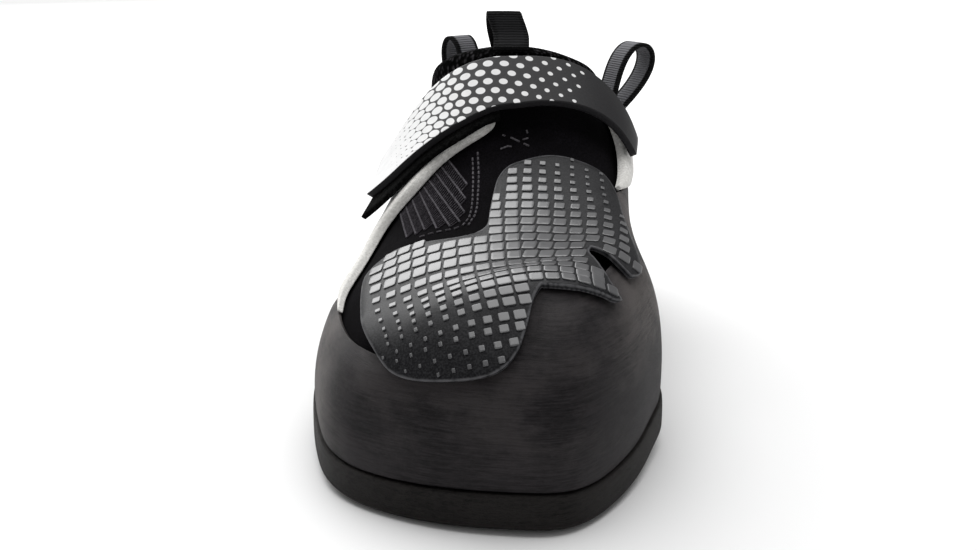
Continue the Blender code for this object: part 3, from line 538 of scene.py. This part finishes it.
# %% Ribs and cross threads, in millimetres
Rib = namedtuple("Rib", "top bottom")
RIBS = [
    Rib((-28.5, 65.3, 47.9), (-24.1, 43.9, 47.0)), Rib((-26.5, 65.4, 49.5), (-21.4, 42.8, 48.2)),
    Rib((-24.7, 66.6, 51.3), (-19.0, 43.2, 49.4)), Rib((-22.4, 67.4, 53.2), (-15.3, 40.6, 50.4)),
    Rib((-21.0, 68.9, 54.6), (-11.5, 39.1, 51.4)), Rib((-19.1, 69.7, 56.1), (-8.9, 40.8, 52.3)),
    Rib((-17.2, 71.4, 57.8), (-8.2, 46.9, 53.8)), Rib((-15.0, 71.7, 59.1), (-8.6, 55.1, 55.9)),
    Rib((-12.7, 72.7, 60.6), (-8.9, 63.3, 58.5)),
]
# Threads run on beyond the window's top, under the side panel and the strap's pad
RIB_POINTS = 14
RIB_BEYOND = 9
RIB_WIDTH = 0.62
RIB_LIFT = 0.22
RUNGS_BEYOND = 8
RUNG_GAP = 1.3
RUNG_LEAN = 3.0
RUNG_WIDTH = 0.42
RUNG_LIFT = 0.16


def rib_place(rib, y):
    """The place in metres on a rib, or in line with it, that has this Y in millimetres."""
    share = (y - rib.bottom[1]) / (rib.top[1] - rib.bottom[1])
    return Vector(rib.bottom).lerp(Vector(rib.top), share) * MM


rib_thread = cloth_finish("knit ribs", (0.050, 0.047, 0.052), (0.130, 0.122, 0.135),
                          scale=1500.0, depth=0.00005, sheen=0.01)
rib_paths = []
for rib in RIBS:
    steps = np.linspace(rib.bottom[1], rib.top[1] + RIB_BEYOND, RIB_POINTS)
    rib_paths.append([rib_place(rib, y) for y in steps])
lay_threads("knit_ribs", rib_paths, RIB_WIDTH * MM, RIB_LIFT * MM, rib_thread)

rung_thread = cloth_finish("knit rungs", (0.022, 0.020, 0.023), (0.075, 0.070, 0.078),
                           scale=1500.0, depth=0.00005, sheen=0.01)
rung_paths = []
for first, second in zip(RIBS, RIBS[1:]):
    lowest = max(first.bottom[1], second.bottom[1] - RUNG_LEAN)
    for y in np.arange(lowest, first.top[1] + RUNGS_BEYOND, RUNG_GAP):
        start = rib_place(first, y)
        end = rib_place(second, y + RUNG_LEAN)
        rung_paths.append([start, start.lerp(end, 0.5), end])
lay_threads("knit_rungs", rung_paths, RUNG_WIDTH * MM, RUNG_LIFT * MM, rung_thread)

# %% [markdown]
# ## Stitches
# Two rows of stitches run along the window's edge, and a few short ones cross near the strap. A running
# stitch is a dash of thread and a gap of the same kind all along its row, so each row is one listed path,
# and the dashes are cut from it by their length.

# %% Stitches along the window and near the strap, in millimetres
INNER_ROW = [
    (-8.4, 76.2, 64.1), (-7.2, 64.0, 59.3), (-6.6, 54.0, 56.2), (-6.4, 48.6, 54.7), (-6.6, 42.5, 53.2),
    (-8.0, 37.9, 52.1), (-10.0, 36.7, 51.4), (-17.0, 38.5, 49.4), (-22.1, 39.2, 47.4),
]
OUTER_ROW = [
    (-7.0, 78.0, 65.4), (-5.7, 65.5, 60.4), (-5.4, 59.5, 58.3), (-4.9, 48.6, 55.1), (-5.1, 43.6, 53.8),
    (-6.5, 37.1, 52.3),
]
LOOSE_STITCHES = [
    [(0.2, 82.9, 69.9), (1.0, 82.4, 69.7)], [(2.7, 81.5, 69.4), (5.4, 79.6, 68.5)],
    [(6.3, 80.5, 68.9), (7.9, 81.3, 69.3)], [(6.7, 78.7, 68.0), (8.3, 77.8, 67.5)],
    [(1.8, 77.9, 67.4), (3.2, 77.5, 67.3)], [(-0.1, 76.9, 66.7), (2.1, 77.8, 67.4)],
    [(7.3, 84.6, 71.1), (7.6, 83.4, 70.4)],
]
STITCH_STEP = 2.6
STITCH_LENGTH = 1.5
STITCH_WIDTH = 0.60
STITCH_LIFT = 0.18
STITCH_PARTS = (0, 0.5, 1)
stitch_paths = []
for row in (INNER_ROW, OUTER_ROW):
    length = sum(path_gaps(row))
    for start in np.arange(0, length - STITCH_LENGTH, STITCH_STEP):
        stitch_paths.append([along_path(row, (start + part * STITCH_LENGTH) / length) * MM
                             for part in STITCH_PARTS])
for start, end in LOOSE_STITCHES:
    stitch_paths.append([Vector(start).lerp(Vector(end), part) * MM for part in STITCH_PARTS])
stitch_thread = cloth_finish("stitch thread", (0.060, 0.056, 0.062), (0.150, 0.142, 0.152),
                             scale=1500.0, depth=0.00005, sheen=0.02)
lay_threads("window_stitches", stitch_paths, STITCH_WIDTH * MM, STITCH_LIFT * MM, stitch_thread)

# %% [markdown]
# ## White side panels
# The side panels are thick white microfibre. In the photo only their cut front edge shows, soft and a
# little fuzzy like felt. The cloth finish makes it too, nearly white, with a grain of about a millimetre
# that gives the cut edge its soft look.

# %% Side panels
felt = cloth_finish("white felt", (0.70, 0.69, 0.66), (0.95, 0.94, 0.91),
                    scale=1300.0, depth=0.00030, sheen=0.1)
for solid in ("quarter_lateral", "quarter_medial"):
    side_panel = dress(solid, solid + "_felt", 60)
    side_panel.data.materials.append(felt)

# %% [markdown]
# ## Toe patch
# A moulded rubber film covers the toes and runs up the instep. It is darker and finer than the rand, and
# its cut rim is a little lighter grey. The rim could be a second strip of mesh, but the film's points
# already know how near they are to its sharp edge, so the colour is blended by that.

# %% Patch film
FILM_RIM_GREY = (0.20, 0.20, 0.21)
film = new_finish("patch film", (0.010, 0.010, 0.011), 0.45, Specular_IOR_Level=0.11)
film_grain = noise(film, 2200.0, 2.0)
film_colour = blend_colours(film, between(film, film_grain, 0.35, 0.7),
                            (0.005, 0.005, 0.006), (0.022, 0.022, 0.024))
# The film is blended to a lighter grey near its sharp rim
rim_share = between(film, attribute(film, "rim"), 0.80, 0.94, 0.0, 0.45)
feed(film, "Base Color", blend_colours(film, rim_share, film_colour, FILM_RIM_GREY))
bumps(film, (film_grain, 0.00004))
patch = dress("toe_patch", "patch_film", 60, join_angle=60)
patch.data.materials.append(film)

# %% [markdown]
# ## Places of the cells
# Glossy grey cells stand on the film in a grid that bends with the foot. An array or a picture would slide
# over the curved toes, so the grid is walked instead: down a spine in steps of a row, and from each step
# sideways in steps of a column, always back onto the film. The spine's table says, by station in
# millimetres, where it lies across the foot, how far the rows turn on each side, and how big the steps are.
# Cells shrink to the small toes and up the instep, where the print fades.

# %% Spine of the grid, and how the cells fade
Row = namedtuple("Row", "station across turn medial_turn column row")
SPINE = [
    Row(112, 8.3, 0.0, 0.0, 4.30, 4.8),
    Row(98, 8.7, -1.0, -1.0, 4.30, 4.8),
    Row(88, 9.1, -2.0, -2.0, 4.35, 5.3),
    Row(80, 9.4, -1.0, -3.0, 4.35, 5.8),
    Row(66, 10.0, 0.0, -5.0, 4.20, 6.2),
    Row(57, 10.6, 1.0, -6.0, 4.10, 7.0),
    Row(45, 11.5, 3.0, -6.0, 4.00, 7.0),
    Row(36, 12.3, 6.0, -4.0, 3.90, 4.8),
    Row(28, 13.3, 11.0, 4.0, 3.80, 4.0),
    Row(21, 14.2, 16.0, 14.0, 3.70, 3.6),
    Row(8, 18.0, 19.0, 19.0, 3.60, 3.3),
    Row(-6, 22.0, 20.0, 20.0, 3.50, 3.3),
]
FADE_TO_SMALL_TOES = ([-4, 4, 9, 14, 20], [0.13, 0.27, 0.46, 0.66, 0.86])
FADE_UP_INSTEP = ([70, 80, 88, 94, 104], [0.86, 0.74, 0.60, 0.48, 0.26])


def spine_at(station, field):
    """What the spine's table says at a station, between its rows."""
    rows = sorted(SPINE)
    return float(np.interp(station, [row.station for row in rows], [getattr(row, field) for row in rows]))


def station_of(place):
    """How far behind the last's tip a place lies, in millimetres."""
    return (place.y - LAST_TIP) / MM


def cell_share(across, station):
    """How much of its place a cell fills: most in the middle, less to the small toes and up the instep."""
    low = np.interp(0.66 * across + 0.75 * station, *FADE_TO_SMALL_TOES)
    high = np.interp(across + 0.8 * station, *FADE_UP_INSTEP)
    return min(low, high)


print("spine of", len(SPINE), "places")

# %% Walk the grid
# A face counts as outer when it looks out more squarely than FACING, the cosine between the two directions
COLUMNS_LATERAL = 14
COLUMNS_MEDIAL = 12
FIRST_ROW = 112.0
LAST_ROW = -1.5
MOST_ROWS = 40
ABOVE_SHOE = 0.12
PROBE = 0.008
FACING = 0.55
SPINE_STEP = 3
patch_tree = surface_tree(patch)


def over_skin(place, normal):
    """The outer face over a place, its way out, and if it is the patch's: else it is the upper's."""
    found, out = patch_tree.ray_cast(place + normal * PROBE, -normal, PROBE * 1.5)[:2]
    if found and out.dot(normal) > FACING:
        return found, out, True
    found, out = upper_tree.find_nearest(place)[:2]
    return found, out, False


def lay_cells():
    """Walks down the spine and sideways along each row, and gives the cells' places and directions."""
    cells = []
    start = Vector((spine_at(FIRST_ROW, "across") * MM, FIRST_ROW * MM + LAST_TIP, ABOVE_SHOE))
    spine, up = upper_tree.ray_cast(start, Vector((0, 0, -1)))[:2]
    spine, up, there = over_skin(spine, up)
    for _ in range(MOST_ROWS):
        station = station_of(spine)
        if station < LAST_ROW:
            break
        column = spine_at(station, "column") * MM
        row = spine_at(station, "row") * MM
        for way, count, field in ((-1, COLUMNS_LATERAL, "turn"), (1, COLUMNS_MEDIAL, "medial_turn")):
            turn = math.radians(spine_at(station, field))
            row_way = Vector((math.cos(turn), math.sin(turn), 0))
            place, normal, printed = spine, up, there
            for step in range(count):
                if printed and (step > 0 or way > 0):
                    cells.append((place, normal, row_way - normal * row_way.dot(normal), column, row))
                side = (row_way - normal * row_way.dot(normal)).normalized() * way
                place, normal, printed = over_skin(place + side * column, normal)
        drift = spine_at(station - SPINE_STEP, "across") - spine_at(station, "across")
        down = Vector((drift / SPINE_STEP, -1, 0))
        down = (down - up * down.dot(up)).normalized()
        spine, up, there = over_skin(spine + down * row, up)
    return cells


cell_places = lay_cells()
print("cells found:", len(cell_places))

# %% [markdown]
# ## Cells
# A cell is a flat block with soft edges, moulded with the film and polished, so it shines more. One cell is
# modelled as a bevelled cube of size 1 and copied to each place, at that place's size and direction. A cell
# that would hang over the film's rim is made narrower or left out.

# %% Model one cell
CELL_BEVEL = 0.16
bpy.ops.object.select_all(action="DESELECT")
bpy.ops.mesh.primitive_cube_add(size=1.0, location=(0, 0, 0))
cell_model = bpy.context.object
bpy.ops.object.mode_set(mode="EDIT")
bpy.ops.mesh.select_all(action="SELECT")
bpy.ops.mesh.bevel(offset=CELL_BEVEL, segments=2, affect="EDGES")
bpy.ops.object.mode_set(mode="OBJECT")
model_points = np.array([v.co[:] for v in cell_model.data.vertices])
model_faces = [tuple(p.vertices) for p in cell_model.data.polygons]
bpy.data.objects.remove(cell_model, do_unlink=True)
print("one cell has", len(model_faces), "faces")

# %% Copy it to each place
CELL_HEIGHT = 0.00035
LEAST_LENGTH = 0.14
MORE_LENGTH = 0.80
SMALLEST_GAP = 0.0011
CELL_MARGIN = 0.0003
WALL_FACING = 0.5
rim_tree = sharp_places["patch_film"]


def under_edge(place, normal):
    """True for a place on the patch's side wall, where the nearest edge lies outward of it."""
    edge = rim_tree.find(place)[0]
    return (edge - place).normalized().dot(normal) > WALL_FACING


points = []
faces = []
for place, normal, side, column, row in cell_places:
    edge_gap = rim_tree.find(place)[2]
    if edge_gap < SMALLEST_GAP or under_edge(place, normal):
        continue
    share = cell_share(place.x / MM, station_of(place))
    wide = min(column * share, 2 * (edge_gap - CELL_MARGIN))
    long = row * (LEAST_LENGTH + MORE_LENGTH * share)
    side = side.normalized()
    along = normal.cross(side)
    base = len(points)
    for a, b, c in model_points:
        points.append(place + side * (a * wide) + along * (b * long) + normal * (c * CELL_HEIGHT * 2))
    faces += [tuple(i + base for i in face) for face in model_faces]
print("cells kept:", len(faces) // len(model_faces))

# %% Make them one piece
cell_mesh = bpy.data.meshes.new("patch_cells")
cell_mesh.from_pydata(points, [], faces)
cells = bpy.data.objects.new("patch_cells", cell_mesh)
bpy.context.scene.collection.objects.link(cells)
cell_finish = new_finish("glossy grey cells", (0.12, 0.12, 0.125), 0.28, Specular_IOR_Level=0.9)
cell_wear = noise(cell_finish, 160.0, 3.0)
feed(cell_finish, "Base Color",
     blend_colours(cell_finish, cell_wear, (0.035, 0.035, 0.038), (0.095, 0.095, 0.099)))
cells.data.materials.append(cell_finish)
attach(cells, "root")
print("cells built:", len(faces), "faces")

# %% [markdown]
# ## Strap
# The closure strap is a strip of smooth synthetic leather. A dot print fades along it: small white dots
# near the big toe's side grow until only thin dark lines are left between them, and then nothing. The print
# has to follow the bent strip, so each corner first gets its place on the strip laid flat, as a UV map.

# %% Lay the strap out flat
STRAP_AXIS_X = 0.002
STRAP_AXIS_Z = 0.020
FIRST_COLUMN_X = -0.005
FIRST_COLUMN_Z = 0.0852
ROW_LINE_Y = 0.0931
ROW_LINE_SLOPE = -0.26
ROW_LINE_BEND = 4.0
BEARINGS = 40
SMOOTHING = 5
strap = dress("strap", "strap_leather", 60)


def strap_chart():
    """Stores on each corner how far along the strap it lies, and how far behind its row line, in metres."""
    mesh = strap.data
    places = np.array([v.co[:] for v in mesh.vertices])
    from_axis = places[:, (0, 2)] - (STRAP_AXIS_X, STRAP_AXIS_Z)
    angle = np.arctan2(from_axis[:, 0], from_axis[:, 1])
    radius = np.hypot(from_axis[:, 0], from_axis[:, 1])
    order = np.argsort(angle)
    bearings = np.linspace(angle.min(), angle.max(), BEARINGS)
    smooth_radius = np.interp(bearings, angle[order], radius[order])
    padded = np.pad(smooth_radius, SMOOTHING // 2, mode="edge")
    smooth_radius = np.convolve(padded, np.ones(SMOOTHING) / SMOOTHING, mode="valid")
    step = bearings[1] - bearings[0]
    lengths = np.concatenate([[0], np.cumsum(np.hypot(smooth_radius[:-1] * step, np.diff(smooth_radius)))])
    first_column = math.atan2(FIRST_COLUMN_X - STRAP_AXIS_X, FIRST_COLUMN_Z - STRAP_AXIS_Z)
    along = np.interp(angle, bearings, lengths) - np.interp(first_column, bearings, lengths)
    row_line = ROW_LINE_Y + ROW_LINE_SLOPE * along + ROW_LINE_BEND * along**2
    chart = mesh.uv_layers.new(name="chart")
    for loop in mesh.loops:
        i = loop.vertex_index
        chart.data[loop.index].uv = (along[i], places[i, 1] - row_line[i])
    outer = mesh.attributes.new("outer", "FLOAT", "FACE")
    for face in mesh.polygons:
        away = Vector((face.center.x - STRAP_AXIS_X, 0, face.center.z - STRAP_AXIS_Z)).normalized()
        outer.data[face.index].value = float(face.normal.dot(away) > FACING)
    return along


strap_along = strap_chart()
print("strap from", round(float(strap_along.min()), 4), "to", round(float(strap_along.max()), 4), "m")

# %% [markdown]
# ## Dot print
# The dots stand in staggered rows. Two equal grids, half a step apart, make such rows, and the print is
# white wherever the nearest dot of either grid is nearer than the dots' radius there. The radius grows
# along the strap. Only the outer face is printed.

# %% Dots that grow along the strap
DOT_STEP = 0.00475
DOT_ROWS = 0.0073
ROW_SQUEEZE = 1.19
DOTS_FULL_AT = -0.046
DOTS_THIN_AT = 0.024
LARGEST_DOT = 0.00295
SMALLEST_DOT = 0.00078
PRINT_END = 0.0290
INK_EDGE = (-0.00005, 0.00010)
strap_print = new_finish("dotted strap leather", (0.015, 0.015, 0.016), 0.55, Specular_IOR_Level=0.18)
chart_uv = node(strap_print, "ShaderNodeUVMap", uv_map="chart")
chart_x = along_axis(strap_print, chart_uv, "X")
chart_y = along_axis(strap_print, chart_uv, "Y")


def dot_distance(material, shift):
    """Distance to the nearest dot of one of the two grids that make the staggered rows."""
    parts = []
    for value, size, squeeze in ((chart_x, DOT_STEP, 1.0), (chart_y, DOT_ROWS, ROW_SQUEEZE)):
        share = math_node(material, "ADD", math_node(material, "DIVIDE", value, size), 0.5 + shift)
        offset = math_node(material, "SUBTRACT", math_node(material, "FRACT", share), 0.5)
        parts.append(math_node(material, "MULTIPLY", offset, size * squeeze))
    squares = [math_node(material, "POWER", math_node(material, "ABSOLUTE", part), 2.0) for part in parts]
    return math_node(material, "SQRT", math_node(material, "ADD", *squares))


nearest = math_node(strap_print, "MINIMUM", dot_distance(strap_print, 0.0), dot_distance(strap_print, 0.5))
dot_radius = node(strap_print, "ShaderNodeMapRange",
                  {"Value": chart_x, "From Min": DOTS_FULL_AT, "From Max": DOTS_THIN_AT,
                   "To Min": LARGEST_DOT, "To Max": SMALLEST_DOT})
far_end = between(strap_print, chart_x, PRINT_END, PRINT_END + 0.0005, 1.0, 0.0)
inked = between(strap_print, math_node(strap_print, "SUBTRACT", dot_radius, nearest), *INK_EDGE)
inked = math_node(strap_print, "MULTIPLY", inked, far_end)
inked = math_node(strap_print, "MULTIPLY", inked, attribute(strap_print, "outer"))
leather_grain = noise(strap_print, 1800.0)
strap_black = blend_colours(strap_print, leather_grain, (0.008, 0.008, 0.009), (0.024, 0.023, 0.025))
strap_white = blend_colours(strap_print, noise(strap_print, 300.0), (0.70, 0.70, 0.70), (0.86, 0.86, 0.86))
feed(strap_print, "Base Color", blend_colours(strap_print, inked, strap_black, strap_white))
bumps(strap_print, (leather_grain, 0.00005))
strap.data.materials.append(strap_print)
print("dots from", LARGEST_DOT, "to", SMALLEST_DOT, "m")

# %% [markdown]
# ## Webbing
# The pull tab and the two heel loops are woven tape. The tab is black, and the loops have a grey stripe
# between black borders. Threads could be woven in mesh, but at this size the ribs across the tape are all
# that the eye finds, and a wave texture makes them. The borders follow the rims that the pieces know.

# %% Pull tab and heel loops
def webbing_finish(name, stripe):
    """Ribs across the tape, black borders, and a stripe down its middle."""
    material = new_finish(name, (0.004, 0.004, 0.004), 0.9, Specular_IOR_Level=0.1)
    ribs = node(material, "ShaderNodeTexWave",
                {"Vector": place_of(material), "Scale": 420.0, "Distortion": 1.5},
                output="Fac", bands_direction="Z")
    fibre = noise(material, 2400.0)
    share = math_node(material, "MULTIPLY", ribs, between(material, fibre, 0.3, 0.7))
    colour = blend_colours(material, share, (0.002, 0.002, 0.002), (0.020, 0.020, 0.022))
    middle = between(material, attribute(material, "rim"), 0.50, 0.70, 1.0, 0.0)
    colour = blend_colours(material, middle, colour, stripe)
    feed(material, "Base Color", colour)
    bumps(material, (ribs, 0.00025), (fibre, 0.00008))
    return material


tab_webbing = webbing_finish("black webbing", (0.012, 0.012, 0.013))
loop_webbing = webbing_finish("striped webbing", (0.170, 0.170, 0.182))
for solid, webbing in (("tongue_pull_tab", tab_webbing), ("heel_loop_lateral", loop_webbing),
                       ("heel_loop_medial", loop_webbing)):
    tape = dress(solid, solid + "_webbing", 60)
    tape.data.materials.append(webbing)
